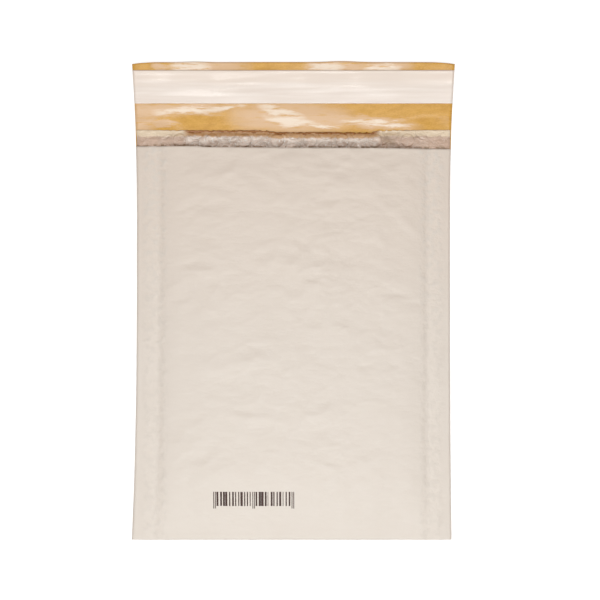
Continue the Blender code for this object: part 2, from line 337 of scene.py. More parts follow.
# %% Wrinkles and creases
WRINKLES = in_metres((  # cell across, cell along, bearing and height
    (32, 17, 6, 0.5),
    (15, 10, -14, 0.5),
    (9, 6, 18, 0.33),
    (5.5, 3.8, -6, 0.15),
), 2)
PATCHINESS = 55 * MM       # the wrinkles are stronger in some places than in others
HANDLING_LEVEL = 1.1
HANDLING_RUN = 20 * MM
RIDGE_SHARPNESS = 5.0
RIDGES = in_metres((  # the same for narrow ridges
    (22, 14, 24, 0.3),
    (15, 10, -28, 0.24),
), 2)
CREASES = in_metres((  # place, bearing, length, width and height
    (71, 4, -4, 26, 5.5, -1.1),
    (83, -2, -4, 12, 4, -1.4),
    (62, 9, -20, 20, 5, -0.6),
    (78, 50, -42, 26, 6, 1.2),
    (-71, 24.5, 4, 18, 5.5, -1.1),
    (-62, 20, -4, 18, 5, 0.6),
    (-63, 43.5, -6, 24, 7, -0.85),
    (-61, 64, 5, 22, 7, -0.75),
    (-47, 75, -14, 18, 6, -0.6),
    (-18, 31, 30, 16, 6, -0.5),
    (-30, -41, 12, 46, 8, 0.85),
    (-46, -54, -8, 44, 10, -0.95),
    (-27, -79, -6, 34, 6, 0.95),
    (48, -44, 6, 12, 4, -0.6),
    (25, 68, 10, 20, 6, -0.5),
    (48, -112, -6, 50, 8, -0.3),
), 2)


def creases(x, y):
    height = np.zeros_like(x)
    for place_x, place_y, bearing, length, width, rise in CREASES:
        turn = math.radians(bearing)
        along = (x - place_x) * math.cos(turn) + (y - place_y) * math.sin(turn)
        aside = (y - place_y) * math.cos(turn) - (x - place_x) * math.sin(turn)
        height += rise * np.exp(-(2 * along / length) ** 2 - (2 * aside / width) ** 2)
    return height


def handling(line, y):
    """Height that wrinkles, creases and bubbles add to the front panel."""
    x = across(line, y)
    height = np.zeros_like(x)
    for step, kind in enumerate(WRINKLES):
        height += crumpled(x, y, kind, SEED_STEP * step)
    for step, (*cell, rise) in enumerate(RIDGES):
        fold = np.abs(stretched_noise(x, y, *cell, RIDGE_SEED + SEED_STEP * step))
        height += rise * np.clip(1.0 - RIDGE_SHARPNESS * fold, 0.0, None) ** 2
    height *= HANDLING_LEVEL + stretched_noise(x, y, PATCHINESS, PATCHINESS, 0, PATCH_SEED)
    height += creases(x, y) + lattice(x, y)
    along = y - fold_end(line)
    return height * smooth(along / HANDLING_RUN) * filling(line, PAD_SQUARENESS)


# %% [markdown]
# Along each seam the sheets are welded. The paper dips there into a narrow valley, and the
# welding bar leaves a row of small dots. Outside the valley the paper is free and a little wavy.

# %% Seams and paper edges
SEAL_WIDTH = 5.0 * MM
SEAL_DEPTH = 0.15 * MM
SEAL_SHARE = 0.7           # what each face takes of the depth
DOT_PITCH = 3.1 * MM
DOT_DEPTH = 0.06 * MM
EDGE_WAVE = 0.25 * MM
EDGE_WAVE_LENGTH = 58 * MM
EDGE_WAVE_SHIFT = 1.5


def seal(line, y):
    """Depth of the valley of a seam, with the dots of the welding bar."""
    half = half_width(y) - SEAM_INSET
    off = np.abs(across(line, y) - middle(y)) - half
    valley = np.exp(-(2 * off / SEAL_WIDTH) ** 2)
    dots = 0.5 + 0.5 * np.cos(TAU * y / DOT_PITCH) * np.cos(TAU * off / DOT_PITCH)
    return valley * (SEAL_DEPTH + DOT_DEPTH * dots)


def edge_wave(line, y):
    flange = smooth(np.abs(line) - 1.0)
    turn = TAU * y / EDGE_WAVE_LENGTH + EDGE_WAVE_SHIFT * np.sign(line)
    return EDGE_WAVE * flange * np.sin(turn)


# %% [markdown]
# ## Relief of the flap
# The flap is one thickness of paper, so it lies in gentle waves. Its brown inner face is coated
# with film for sealing and mirrors the lamps, and each wave that tips towards a lamp shows as a
# pale patch. The waves are low ridges, placed where those patches are.

# %% Flap waves
FLAP_WAVES = in_metres((  # from x, to x, crest y past the lip, half width and height
    (-38, 34, 12.5, 7.5, 0.42),
    (-106, -66, 22.0, 5.0, 0.22),
    (42, 74, 14.0, 4.0, 0.2),
    (-80, -58, 51.5, 6.0, 0.22),
    (12, 35, 51.5, 6.0, 0.22),
    (49, 68, 51.5, 6.0, 0.18),
))
WAVE_END = 7 * MM
FLAP_CRUMPLE = (30 * MM, 5 * MM, 4, 0.05 * MM)
FLAP_RUN = 6 * MM


def flap_waves(line, y):
    x = across(line, y)
    past = y - Y_LIP
    height = np.zeros_like(x)
    for low_x, high_x, crest, half, rise in FLAP_WAVES:
        ridge = np.exp(-((past - crest) / half) ** 2)
        height += rise * ridge * hump(x, low_x, high_x, WAVE_END)
    height += crumpled(x, y, FLAP_CRUMPLE, FLAP_SEED)
    return height * smooth(past / FLAP_RUN)


# %% [markdown]
# ## The paper
# The paper is followed as one sheet, from the free edge of the flap down the back, round the
# bottom fold and up the front to the lip. Building it as a single grid and giving it thickness
# with Solidify keeps it one piece, and the Solidify modifier also puts the brown kraft on the
# inner face.

# %% Grid of a sheet
def smooth_object(name, mesh):
    mesh.shade_smooth()
    piece = bpy.data.objects.new(name, mesh)
    add_to_scene(piece)
    return piece


def sheet_object(name, points):
    """A mesh object through an array of rows of points."""
    rows, columns = points.shape[:2]
    corner = np.arange(rows * columns).reshape(rows, columns)
    quads = np.stack([corner[:-1, :-1], corner[:-1, 1:], corner[1:, 1:], corner[1:, :-1]], axis=-1)
    mesh = bpy.data.meshes.new(name)
    mesh.from_pydata(points.reshape(-1, 3).tolist(), [], quads.reshape(-1, 4).tolist())
    return smooth_object(name, mesh)


def thicken(piece, thickness, offset):
    shell = piece.modifiers.new("thickness", "SOLIDIFY")
    shell.thickness = thickness
    shell.offset = offset
    shell.use_even_offset = False


def grid(lines, stations):
    return np.meshgrid(np.array(lines), np.array(stations))


def on_lines(line, y, z):
    """The points of a sheet, from their lines, distances and heights."""
    return np.stack([across(line, y), y, z], axis=-1)


def sheet_lines(flange_cells, inner_cells, edge=2.0):
    flange = np.linspace(1.0, edge, flange_cells + 1)[1:]
    inner = np.linspace(-1.0, 1.0, inner_cells + 1)
    return np.concatenate([-flange[::-1], inner, flange])


# %% Stations of the paper
FLANGE_CELLS = 8
INNER_CELLS = 100
FLAP_ROWS = 52
BACK_ROWS = 72
FOLD_ROWS = 12
FRONT_ROWS = 244
LIP_RUN = 10 * MM

lines = sheet_lines(FLANGE_CELLS, INNER_CELLS)


def flap_rows():
    line, share = grid(lines, np.linspace(0, 1, FLAP_ROWS, endpoint=False))
    y = mix(tip_line(line), Y_LIP, share)
    z = rest_height(line, y) + flap_waves(line, y)
    return on_lines(line, y, z)


def back_rows():
    line, share = grid(lines, np.linspace(0, 1, BACK_ROWS, endpoint=False))
    y = mix(Y_LIP, fold_end(line), share)
    below = smooth((Y_LIP - y) / LIP_RUN)
    z = rest_height(line, y) + edge_wave(line, y) * below
    z = z + SEAL_SHARE * seal(line, y) * below
    return on_lines(line, y, z)


def fold_rows():
    line, turn = grid(lines, np.linspace(-math.pi / 2, math.pi / 2, FOLD_ROWS, endpoint=False))
    radius = fold_radius(line)
    y = fold_end(line) - radius * np.cos(turn)
    z = rest_height(line, y) + edge_wave(line, y) + radius * (1 + np.sin(turn))
    dip = SEAL_SHARE * seal(line, y)
    z = z + dip * np.where(turn < 0, 1.0, np.cos(turn)) - dip * np.clip(np.sin(turn), 0, None)
    return on_lines(line, y, z)


def front_level(line, y):
    """Outer face of the front panel, without its wrinkles."""
    along = y - fold_end(line)
    stack = 2 * PAPER_SPACE + separation(line, along) + swell(line, y, along)
    return rest_height(line, y) + stack - lip_dip(line, y)


def front_rows():
    line, share = grid(lines, np.linspace(0, 1, FRONT_ROWS + 1))
    y = mix(fold_end(line), lip_line(line), share)
    z = front_level(line, y) + handling(line, y) + edge_wave(line, y) - SEAL_SHARE * seal(line, y)
    return on_lines(line, y, z)


# %% Build the paper
paper_points = np.concatenate([flap_rows(), back_rows(), fold_rows(), front_rows()])
paper = sheet_object("paper_sheet", paper_points)
thicken(paper, PAPER, -1.0)
paper.modifiers["thickness"].material_offset = 1
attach(paper, "root")
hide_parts("paper_envelope")
print("paper:", len(paper.data.polygons), "quads")

# %% [markdown]
# ## The bubble film
# Bubble film is two films: a smooth one towards the pocket, and one drawn into round bubbles
# that face the paper. The smooth film is a sheet like the paper. The bubbles could be
# a displacement, but then their rims would be as coarse as the grid, so each visible bubble is
# its own small shell, set on the film on a lattice. A strip along the cut edge is pressed flat
# onto the paper.

# %% Levels of the film
MOUTH_DEPTH = 26 * MM
Y_MOUTH = Y_LIP - MOUTH_DEPTH


def film_levels(line, y):
    """Underside of the padding, pocket floor, pocket ceiling and top of the padding."""
    along = y - fold_end(line)
    under = rest_height(line, y) + PAPER_SPACE + CLEARANCE
    floor = under + pad(line, along)
    ceiling = floor + room(line, along) - lip_dip(line, y)
    top = ceiling + pad(line, along) + swell(line, y, along)
    return under, floor, ceiling, top


def bubble_distance(x, y):
    """Distance to the middle of the nearest bubble."""
    nearest = None
    for column, shift in ((0, 0.0), (1, BUBBLE_PITCH / 2)):
        step_x = (x - column * COLUMN_PITCH) / (2 * COLUMN_PITCH)
        step_y = (y - Y_MOUTH - shift) / BUBBLE_PITCH
        off_x = (step_x - np.round(step_x)) * 2 * COLUMN_PITCH
        off_y = (step_y - np.round(step_y)) * BUBBLE_PITCH
        distance = np.hypot(off_x, off_y)
        nearest = distance if nearest is None else np.minimum(nearest, distance)
    return nearest


DOME_CORE = 3.5 * MM
DOME_RUN = 3.5 * MM


def bubble_nearness(x, y):
    """1 over a bubble and 0 between bubbles."""
    return 1 - smooth((bubble_distance(x, y) - DOME_CORE) / DOME_RUN)


CRUMPLES = in_metres((  # cell across, cell along, bearing and height
    (9, 5, 20, 0.55),
    (4, 2.6, -35, 0.3),
), 2)
PRESSED_CRUMPLE = (6 * MM, 3 * MM, 10, 0.3 * MM)
BAND_RISE = 0.9 * MM
RISE_FROM = Y_LIP - 4 * MM
RISE_TO = Y_BAND - 9 * MM
RISE_RUN = 8 * MM
FLAT_EDGE = 4.6 * MM
PRESS_RUN = 0.8 * FLAT_EDGE
FILM_SINK = 0.35 * MM
RIM_DEPTH = 0.25 * MM
RIM_WIDTH = 0.6 * MM


def smooth_film(line, y):
    """Height of the smooth film of the back half."""
    x = across(line, y)
    under, floor, ceiling, _ = film_levels(line, y)
    near = bubble_nearness(x, y)
    rim = np.exp(-((bubble_distance(x, y) - BUBBLE_RADIUS) / RIM_WIDTH) ** 2)
    height = floor - FILM_SINK * (1 - near) - RIM_DEPTH * rim
    height += BAND_RISE * hump(y, RISE_FROM, RISE_TO, RISE_RUN)
    for step, kind in enumerate(CRUMPLES):
        height += crumpled(x, y, kind, CRUMPLE_SEED + step)
    height = np.where(np.abs(line) > 1.0, floor, height)
    height = mix(floor, height, smooth(2 * filling(line, PAD_SQUARENESS)))
    height = np.minimum(height, ceiling + np.clip(y - Y_LIP, 0.0, None))
    pressed = smooth((y - Y_BAND + FLAT_EDGE) / PRESS_RUN)
    least = under + flap_waves(line, y) + FILM
    low = least + np.abs(crumpled(x, y, PRESSED_CRUMPLE, PRESSED_SEED))
    return np.maximum(mix(height, low, pressed), least)


# %% Smooth film of the back half
BAND_ROWS = 64
EDGE_RAGGED = 1.5 * MM
RAGGED_CELL = 4.5 * MM
EDGE_DRAWN = 1.3 * MM       # the cut runs lower from one place to another
DRAWN_FROM = -11 * MM
DRAWN_TO = 52 * MM
DRAWN_RUN = 8 * MM

FILM_OUTER = 2.0 - SETBACK / SEAM_INSET
film_lines = sheet_lines(6, 200, FILM_OUTER)


def band_end(line):
    """Where the cut edge of the film runs."""
    x = across(line, Y_BAND)
    ragged = EDGE_RAGGED * np.abs(stretched_noise(x, 0 * x, RAGGED_CELL, MM, 0, RAGGED_SEED))
    drawn = EDGE_DRAWN * hump(x, DRAWN_FROM, DRAWN_TO, DRAWN_RUN)
    return Y_BAND - (ragged + drawn) * filling(line, PAD_SQUARENESS)


def back_film_rows():
    line, share = grid(film_lines, np.linspace(0, 1, BAND_ROWS + 1))
    y = mix(Y_MOUTH, band_end(line), share)
    return on_lines(line, y, smooth_film(line, y))


back_film = sheet_object("lining_back_film", back_film_rows())
thicken(back_film, FILM, 0.0)
print("back film:", len(back_film.data.polygons), "quads")

# %% Pouch that runs down inside the envelope
HIDDEN_ROWS = 40
pouch_lines = sheet_lines(4, 60, FILM_OUTER)


def pouch_rows():
    """The smooth film from the mouth down, round the bottom fold and up to the lip."""
    line, share = grid(pouch_lines, np.linspace(0, 1, HIDDEN_ROWS + 1))
    low = mix(Y_MOUTH, fold_end(line) + POCKET_START, share)
    high = mix(fold_end(line) + POCKET_START, Y_LIP - SETBACK, share)
    _, floor, _, _ = film_levels(line, low)
    _, _, ceiling, _ = film_levels(line, high)
    return np.concatenate([
        on_lines(line, low, floor),
        on_lines(line, high, ceiling + 2 * FILM),
    ])


pouch = sheet_object("lining_pouch", pouch_rows())
thicken(pouch, FILM, 0.0)
print("pouch:", len(pouch.data.polygons), "quads")

# %% One bubble
BUBBLE_SEGMENTS = 28
BUBBLE_RINGS = 6
BUBBLE_WALL = 0.62
BUBBLE_DENT = 0.12
DENT_CELL = 4 * MM


def bubble_shell(bm, x, y, film_z, height, up, y_end):
    """A thin round shell that stands on the film, cut off at y_end."""
    rings = []
    for ring in range(BUBBLE_RINGS + 1):
        turn = math.pi / 2 * ring / BUBBLE_RINGS
        radius = BUBBLE_RADIUS * math.cos(turn) ** BUBBLE_WALL
        rise = height * math.sin(turn) ** BUBBLE_WALL
        verts = []
        for segment in range(BUBBLE_SEGMENTS):
            angle = TAU * segment / BUBBLE_SEGMENTS
            place = Vector((x + radius * math.cos(angle), y + radius * math.sin(angle), 0))
            dent = 1 - BUBBLE_DENT * (0.5 + noise.noise(place / DENT_CELL))
            place.z = film_z + (rise * dent if up else -rise * dent)
            verts.append(bm.verts.new(place))
            if ring == BUBBLE_RINGS:
                break
        rings.append(verts)
    for lower, upper in zip(rings, rings[1:]):
        for here in range(BUBBLE_SEGMENTS):
            after = (here + 1) % BUBBLE_SEGMENTS
            if len(upper) > 1:
                bm.faces.new((lower[here], lower[after], upper[after], upper[here]))
            else:
                bm.faces.new((lower[here], lower[after], upper[0]))


# %% All bubbles near the mouth
BUBBLE_LEAST = 0.9 * MM


def bubbles(name, y_end, up):
    bm = bmesh.new()
    columns = int((WAIST_HALF - SEAM_INSET) / COLUMN_PITCH)
    for column in range(-columns, columns + 1):
        y = Y_MOUTH + (column % 2) * BUBBLE_PITCH / 2 + BUBBLE_PITCH
        while y < y_end + BUBBLE_RADIUS:
            x = float(middle(y)) + column * COLUMN_PITCH
            reach = np.array([x - BUBBLE_RADIUS, x, x + BUBBLE_RADIUS])
            under, floor, ceiling, top = film_levels(line_at(reach, y), min(y, y_end))
            if up:
                height = float(top.min() - ceiling[1]) - FILM
                film_z = float(ceiling[1])
            else:
                height = float(floor[1] - under.max()) - FILM
                film_z = float(floor[1])
            if height > BUBBLE_LEAST:
                bubble_shell(bm, x, y, film_z, height, up, y_end)
            y += BUBBLE_PITCH
    everything = bm.verts[:] + bm.edges[:] + bm.faces[:]
    bmesh.ops.bisect_plane(bm, geom=everything, plane_co=(0, y_end, 0), plane_no=(0, 1, 0),
                           clear_outer=True)
    mesh = bpy.data.meshes.new(name)
    bm.to_mesh(mesh)
    bm.free()
    return smooth_object(name, mesh)


back_bubbles = bubbles("lining_back_bubbles", Y_BAND - FLAT_EDGE, False)
front_bubbles = bubbles("lining_front_bubbles", Y_LIP - SETBACK, True)
for piece in (back_film, pouch, back_bubbles, front_bubbles):
    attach(piece, "root")
    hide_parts("bubble_lining")
print("bubbles:", len(back_bubbles.data.polygons) + len(front_bubbles.data.polygons), "faces")

# %% [markdown]
# ## The closure
# A band of glue lies on the flap under a release liner of glossy coated paper. Both are thin
# strips that follow the waves of the flap.

# %% Liner and glue
STRIP_CELLS = 180
LINER_RISE, LINER_THICKNESS = 0.75 * MM, 0.1 * MM
GLUE_RISE, GLUE_THICKNESS = 0.45 * MM, 0.15 * MM
STREAK_CELL = (60 * MM, 2.6 * MM, 1)
LINER_STREAKS = 0.04 * MM
LINER_MARGIN = 1.0 * MM


def strip(name, low, high, rise, rows, streaks=0.0, margin=0.0):
    edge = 2.0 - (FLAP_HALF - high.x - margin) / SEAM_INSET
    line, y = grid(sheet_lines(10, STRIP_CELLS, edge), np.linspace(low.y, high.y, rows + 1))
    z = rest_height(line, y) + flap_waves(line, y) + rise
    streak = stretched_noise(across(line, y), y, *STREAK_CELL, STREAK_SEED)
    return sheet_object(name, on_lines(line, y, z + streaks * (0.5 + streak)))


liner = strip("liner_strip", liner_low, liner_high, LINER_RISE, 30, LINER_STREAKS, LINER_MARGIN)
thicken(liner, LINER_THICKNESS, 1.0)
glue = strip("glue_band", glue_low, glue_high, GLUE_RISE, 16)
thicken(glue, GLUE_THICKNESS, 1.0)
for piece, node, slot in (
    (liner, "release_liner", "release_liner"),
    (glue, "adhesive_strip", "adhesive"),
):
    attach(piece, "root")
    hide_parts(node)
print("liner", round((liner_high.y - liner_low.y) * 1000, 1), "mm wide")


# %% [markdown]
# ## Materials
# Paper shows fibres, film shows crumples. Each effect is a node group that gives out a few
# masks, and every material that shows it mixes them at its own strength.

# %% Node helpers
def new_group(name, inputs, outputs):
    group = bpy.data.node_groups.new(name, "ShaderNodeTree")
    for label, value in inputs:
        socket = group.interface.new_socket(label, in_out="INPUT", socket_type="NodeSocketFloat")
        socket.default_value = value
    for label in outputs:
        group.interface.new_socket(label, in_out="OUTPUT", socket_type="NodeSocketFloat")
    return group, group.nodes.new("NodeGroupInput"), group.nodes.new("NodeGroupOutput")


def calculate(tree, operation, first, second=None, third=None):
    """A math node on sockets or numbers; the result is its output socket."""
    node = tree.nodes.new("ShaderNodeMath")
    node.operation = operation
    for place, value in enumerate((first, second, third)):
        if isinstance(value, bpy.types.NodeSocket):
            tree.links.new(value, node.inputs[place])
        elif value is not None:
            node.inputs[place].default_value = value
    return node.outputs[0]


def operation(kind):
    def apply(tree, *values):
        return calculate(tree, kind, *values)
    return apply


times, plus, minus = operation("MULTIPLY"), operation("ADD"), operation("SUBTRACT")
larger, linear = operation("MAXIMUM"), operation("MULTIPLY_ADD")


def textured(tree, kind, vector, **sockets):
    node = tree.nodes.new(kind)
    tree.links.new(vector, node.inputs["Vector"])
    for label, value in sockets.items():
        node.inputs[label.replace("_", " ")].default_value = value
    return node


def stretched(tree, scale):
    """Object coordinates scaled by a vector."""
    place = tree.nodes.new("ShaderNodeTexCoord")
    mapping = tree.nodes.new("ShaderNodeMapping")
    mapping.inputs["Scale"].default_value = scale
    tree.links.new(place.outputs["Object"], mapping.inputs["Vector"])
    return mapping.outputs["Vector"]


def noise_texture(tree, scale, **sockets):
    """Grey noise on the object coordinates, which a vector scales."""
    node = textured(tree, "ShaderNodeTexNoise", stretched(tree, scale), **sockets)
    return node.outputs["Fac"]


def ramp(tree, value, start, end):
    """0 at start, 1 at end, eased between."""
    node = tree.nodes.new("ShaderNodeMapRange")
    node.interpolation_type = "SMOOTHSTEP"
    node.inputs["From Min"].default_value = start
    node.inputs["From Max"].default_value = end
    tree.links.new(value, node.inputs["Value"])
    return node.outputs["Result"]


def stretch_mask(tree, value, low, high, soft):
    """1 between low and high, easing to 0 over a distance soft outside them."""
    return times(tree, ramp(tree, value, low - soft, low), ramp(tree, value, high + soft, high))


def object_axes(tree):
    place = tree.nodes.new("ShaderNodeTexCoord")
    axes = tree.nodes.new("ShaderNodeSeparateXYZ")
    tree.links.new(place.outputs["Object"], axes.inputs["Vector"])
    return axes.outputs


# %% Paper fibre, film crumple and bubble ring groups
CELL_BEND = 5 * MM
CREASE_HALF = 0.16
GLINT = (0.6, 0.72)
RING_SOFT, RING_SOLID = 0.9 * MM, 0.2 * MM


def paper_fibre_group():
    """Cloudy formation and fine fibres of paper."""
    group, _, out = new_group("paper_fibre", [], ["Cloud", "Fibre", "Cockle"])
    cloud = noise_texture(group, (1, 1, 1), Scale=90.0, Detail=4.0)
    fibre = noise_texture(group, (0.35, 1, 1), Scale=2200.0, Detail=3.0, Roughness=0.6)
    cockle = noise_texture(group, (0.4, 1, 1), Scale=330.0, Detail=3.0)
    group.links.new(cloud, out.inputs["Cloud"])
    group.links.new(fibre, out.inputs["Fibre"])
    group.links.new(cockle, out.inputs["Cockle"])
    return group


def film_crumple_group():
    """Sharp little folds of thin film, and the pale lines where it is creased."""
    group, _, out = new_group("film_crumple", [], ["Folds", "Haze", "Creases", "Glints"])
    wobble = textured(group, "ShaderNodeTexNoise", stretched(group, (1, 1, 1)),
                      Scale=260.0, Detail=2.0)
    bent = group.nodes.new("ShaderNodeVectorMath")
    bent.operation = "MULTIPLY_ADD"
    group.links.new(wobble.outputs["Color"], bent.inputs[0])
    bent.inputs[1].default_value = (CELL_BEND,) * 3
    group.links.new(stretched(group, (0.55, 1, 1)), bent.inputs[2])
    cells = textured(group, "ShaderNodeTexVoronoi", bent.outputs[0], Scale=210.0)
    cells.feature = "DISTANCE_TO_EDGE"
    haze = noise_texture(group, (0.5, 1, 1), Scale=330.0, Detail=3.0)
    group.links.new(cells.outputs["Distance"], out.inputs["Folds"])
    group.links.new(haze, out.inputs["Haze"])
    group.links.new(ramp(group, cells.outputs["Distance"], CREASE_HALF, 0.0), out.inputs["Creases"])
    fine = noise_texture(group, (0.8, 1, 1), Scale=720.0, Detail=1.0)
    group.links.new(ramp(group, fine, *GLINT), out.inputs["Glints"])
    return group


def bubble_ring_group():
    """1 along the weld line round every bubble."""
    group, _, out = new_group("bubble_rings", [], ["Ring"])
    axes = object_axes(group)
    nearest = None
    for column, shift in ((0, 0.0), (1, BUBBLE_PITCH / 2)):
        squares = []
        for axis, start, pitch in ((0, column * COLUMN_PITCH, 2 * COLUMN_PITCH),
                                   (1, Y_MOUTH + shift, BUBBLE_PITCH)):
            step = linear(group, axes[axis], 1 / pitch, 0.5 - start / pitch)
            off = minus(group, calculate(group, "FRACT", step), 0.5)
            squares.append(calculate(group, "POWER", times(group, off, pitch), 2.0))
        distance = calculate(group, "SQRT", plus(group, *squares))
        nearest = distance if nearest is None else calculate(group, "MINIMUM", nearest, distance)
    off_ring = calculate(group, "ABSOLUTE", minus(group, nearest, BUBBLE_RADIUS))
    group.links.new(ramp(group, off_ring, RING_SOFT, RING_SOLID), out.inputs["Ring"])
    return group


# %% [markdown]
# The film on the inner face has come loose from the kraft here and there, and is pale where it
# has; part of that paleness is painted sheen, and the glare patches are painted highlights where
# the gloss would mirror the lamps. The bubble film also gets a patch of painted shade. Each
# patch is a ragged ellipse, so one group makes them all from a place, a size and a bearing.

# %% Ragged patch group
LONG_POWER = 2.5
PATCH_FADE = (1.9, 0.1)


def patch_group():
    group, given, out = new_group(
        "ragged_patch",
        [("Centre X", 0.0), ("Centre Y", 0.0), ("Length", 0.1), ("Width", 0.01), ("Bearing", 0.0),
         ("Raggedness", 0.004)],
        ["Mask"],
    )
    wobble = noise_texture(group, (0.2, 1, 1), Scale=230.0, Detail=6.0, Roughness=0.68)
    shift = minus(group, wobble, 0.5)
    shift = times(group, shift, given.outputs["Raggedness"])
    x, y, _ = object_axes(group)
    off_x = minus(group, x, given.outputs["Centre X"])
    off_y = minus(group, y, given.outputs["Centre Y"])
    off_y = linear(group, shift, 2.0, off_y)
    cosine = calculate(group, "COSINE", given.outputs["Bearing"])
    sine = calculate(group, "SINE", given.outputs["Bearing"])
    along = linear(group, off_y, sine, times(group, off_x, cosine))
    turned = times(group, off_x, sine)
    aside = minus(group, times(group, off_y, cosine), turned)
    along = calculate(group, "DIVIDE", times(group, along, 2.0), given.outputs["Length"])
    aside = calculate(group, "DIVIDE", times(group, aside, 2.0), given.outputs["Width"])
    along = calculate(group, "POWER", calculate(group, "ABSOLUTE", along), LONG_POWER)
    aside = calculate(group, "POWER", calculate(group, "ABSOLUTE", aside), 2.0)
    round_off = plus(group, along, aside)
    group.links.new(ramp(group, round_off, *PATCH_FADE), out.inputs["Mask"])
    return group


fibre_group = paper_fibre_group()
crumple_group = film_crumple_group()
ring_group = bubble_ring_group()
ragged_patch_group = patch_group()
print("node groups:", [group.name for group in bpy.data.node_groups])


# %% Material helper
def new_material(name, roughness, **sockets):
    material = bpy.data.materials.new(name)
    material.use_nodes = True
    shader = material.node_tree.nodes["Principled BSDF"]
    shader.inputs["Roughness"].default_value = roughness
    for label, value in sockets.items():
        shader.inputs[label.replace("_", " ")].default_value = value
    return material, material.node_tree, shader


def place_group(tree, group):
    node = tree.nodes.new("ShaderNodeGroup")
    node.node_tree = group
    return node


def blend_colors(tree, mask, first, second):
    blend = tree.nodes.new("ShaderNodeMix")
    blend.data_type = "RGBA"
    tree.links.new(mask, blend.inputs["Factor"])
    for socket, value in ((blend.inputs[6], first), (blend.inputs[7], second)):
        if isinstance(value, bpy.types.NodeSocket):
            tree.links.new(value, socket)
        else:
            socket.default_value = (*value, 1.0)
    return blend.outputs[2]


def finish_surface(tree, shader, color, height, distance, strength=1.0):
    """Join the colour and a bump of this height to the shader."""
    tree.links.new(color, shader.inputs["Base Color"])
    bump = tree.nodes.new("ShaderNodeBump")
    bump.inputs["Distance"].default_value = distance
    bump.inputs["Strength"].default_value = strength
    tree.links.new(height, bump.inputs["Height"])
    tree.links.new(bump.outputs["Normal"], shader.inputs["Normal"])


def roughen(tree, shader, mask, least, more):
    """Roughness least where the mask is 0, and more above that where it is 1."""
    rough = linear(tree, mask, more, least)
    tree.links.new(rough, shader.inputs["Roughness"])


# %% [markdown]
# The white outer face is matte and slightly cream, with darker blotches where the seams were
# welded. A block of printed bars stands near the bottom of the front. Ink is colour on the
# paper and not a form, so the bars are a mask in the material. The width is counted in narrow
# modules. Every few modules share one bar of random place and width, and the guard bars at
# both ends and in the middle are regular and reach lower.

# %% Printed bars
BAR_LEFT = -53.9 * MM
BAR_MODULES = 95
BAR_CELL = 3.5             # modules that share one bar
BAR_CENTRE, CENTRE_SPREAD = 0.35, 0.3
BAR_HALF, HALF_SPREAD = 0.1, 0.37
BAR_WIDTH = 54.4 * MM
BAR_BOTTOM = Y_FOLD + 23.4 * MM
BAR_TOP = Y_FOLD + 33.2 * MM
GUARD_DROP = 1.7 * MM
GUARD_MODULES = (1.5, 47.5, 93.5)
GUARD_HALF = 1.5
FRONT_LEVEL = 5 * MM


def printed_bars(tree):
    """1 where there is ink."""
    x, y, z = object_axes(tree)
    module = times(tree, minus(tree, x, BAR_LEFT), BAR_MODULES / BAR_WIDTH)
    count = calculate(tree, "FLOOR", module)
    cell = calculate(tree, "DIVIDE", module, BAR_CELL)
    chance = tree.nodes.new("ShaderNodeTexWhiteNoise")
    chance.noise_dimensions = "1D"
    tree.links.new(calculate(tree, "FLOOR", cell), chance.inputs["W"])
    axes = tree.nodes.new("ShaderNodeSeparateXYZ")
    tree.links.new(chance.outputs["Color"], axes.inputs["Vector"])
    centre = linear(tree, axes.outputs[0], CENTRE_SPREAD, BAR_CENTRE)
    half = linear(tree, axes.outputs[1], HALF_SPREAD, BAR_HALF)
    off = minus(tree, calculate(tree, "FRACT", cell), centre)
    inked = calculate(tree, "LESS_THAN", calculate(tree, "ABSOLUTE", off), half)
    guard = None
    for middle_module in GUARD_MODULES:
        near = calculate(tree, "COMPARE", module, middle_module, GUARD_HALF)
        guard = near if guard is None else larger(tree, guard, near)
    even = calculate(tree, "LESS_THAN", calculate(tree, "MODULO", count, 2.0), 0.5)
    inked = plus(tree, times(tree, guard, even), times(tree, minus(tree, 1.0, guard), inked))
    foot = minus(tree, BAR_BOTTOM, times(tree, guard, GUARD_DROP))
    inside = times(tree, calculate(tree, "GREATER_THAN", y, foot),
                   calculate(tree, "LESS_THAN", y, BAR_TOP))
    width = calculate(tree, "COMPARE", module, BAR_MODULES / 2, BAR_MODULES / 2)
    front = calculate(tree, "GREATER_THAN", z, FRONT_LEVEL)
    return times(tree, times(tree, inked, inside), times(tree, width, front))


# %% White paper
WHITE = (0.79, 0.735, 0.675)
WHITE_SHADE = (0.77, 0.71, 0.645)
# Painted warm shade: the white turns warmer towards the top of the envelope.
WHITE_WARM_SHADE = (0.78, 0.70, 0.625)
WARM_SHADE_FROM = -60 * MM
WARM_SHADE_TO = 120 * MM
WELD_FROM = 88 * MM
WELD_TO = 98 * MM
WELD_RUN = 6 * MM
WELD_BLOTCH = (0.42, 0.68)
WELD_RELIEF = 2.4
FIBRE_RELIEF = 0.12
WHITE_RELIEF = 0.3 * MM
WHITE_ROUGH = (0.52, 0.15)
WHITE_WELD = (0.745, 0.69, 0.63)
INK = (0.058, 0.031, 0.026)


